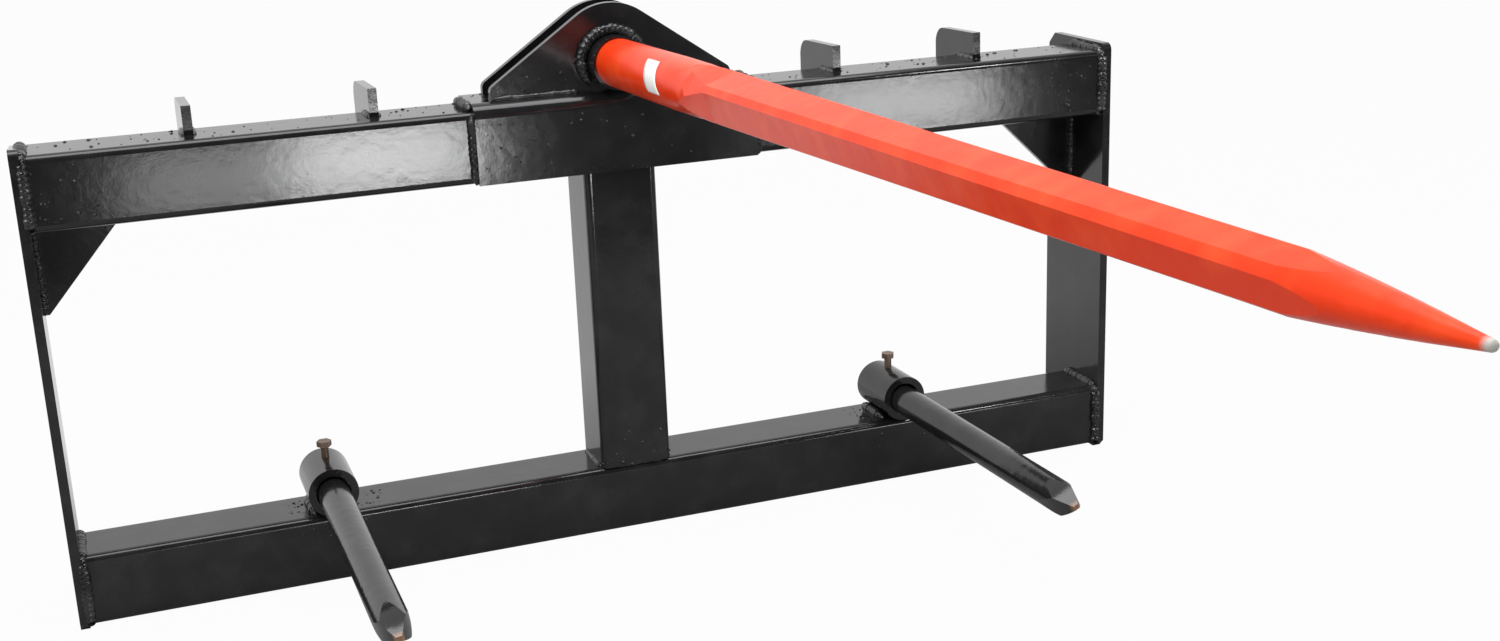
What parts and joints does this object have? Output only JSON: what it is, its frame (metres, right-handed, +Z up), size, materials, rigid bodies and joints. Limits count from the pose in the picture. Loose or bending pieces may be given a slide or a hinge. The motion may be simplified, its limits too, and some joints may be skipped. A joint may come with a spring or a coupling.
{
  "type": "bale spear",
  "caption": "Loader-mounted bale spear: welded square-tube frame, long forged red spear on a saddle, short black stabiliser bars below.",
  "frame": {"origin": "middle of the rear mounting plane, on the rear face of the centre post at the frame's mid height", "axes": "+X to the right across the frame, +Y to the rear towards the loader, +Z up; the spears point to -Y"},
  "size_m": [1.143, 1.3354, 0.5627],
  "materials": {
    "frame_black": "high gloss black enamel",
    "bar_black": "gloss black enamel, worn bare at the point",
    "weld_black": "gloss black enamel over weld",
    "spear_red": "gloss orange-red enamel, bare at the tip",
    "bare_bolt": "dull, slightly rusted steel",
    "zinc": "zinc plated"
  },
  "bodies": {
    "root": {"bottom_tube": "frame_black", "centre_post": "frame_black", "end_plate_left": "frame_black", "end_plate_right": "frame_black", "gusset_left": "frame_black", "gusset_right": "frame_black", "hook_plate_1": "frame_black", "hook_plate_2": "frame_black", "hook_plate_3": "frame_black", "hook_plate_4": "frame_black", "latch_plate": "frame_black", "lug_front": "frame_black", "lug_rear": "frame_black", "main_spear": "spear_red", "saddle_plate": "frame_black", "set_bolt_left": "bare_bolt", "set_bolt_right": "bare_bolt", "spear_nut": "zinc", "spear_socket": "frame_black", "spear_washer": "zinc", "stabiliser_sleeve_left": "frame_black", "stabiliser_sleeve_right": "frame_black", "stabiliser_spear_left": "bar_black", "stabiliser_spear_right": "bar_black", "top_lip": "frame_black", "top_tube": "frame_black", "weld_hook_1": "weld_black", "weld_hook_2": "weld_black", "weld_hook_3": "weld_black", "weld_hook_4": "weld_black", "weld_lug_front_left": "weld_black", "weld_lug_front_right": "weld_black", "weld_lug_rear_left": "weld_black", "weld_lug_rear_right": "weld_black", "weld_ring": "weld_black", "weld_saddle_front_left": "weld_black", "weld_saddle_front_right": "weld_black", "weld_saddle_top_left": "weld_black", "weld_saddle_top_right": "weld_black", "weld_sleeve_left_left": "weld_black", "weld_sleeve_left_right": "weld_black", "weld_sleeve_right_left": "weld_black", "weld_sleeve_right_right": "weld_black"}
  },
  "joints": []
}
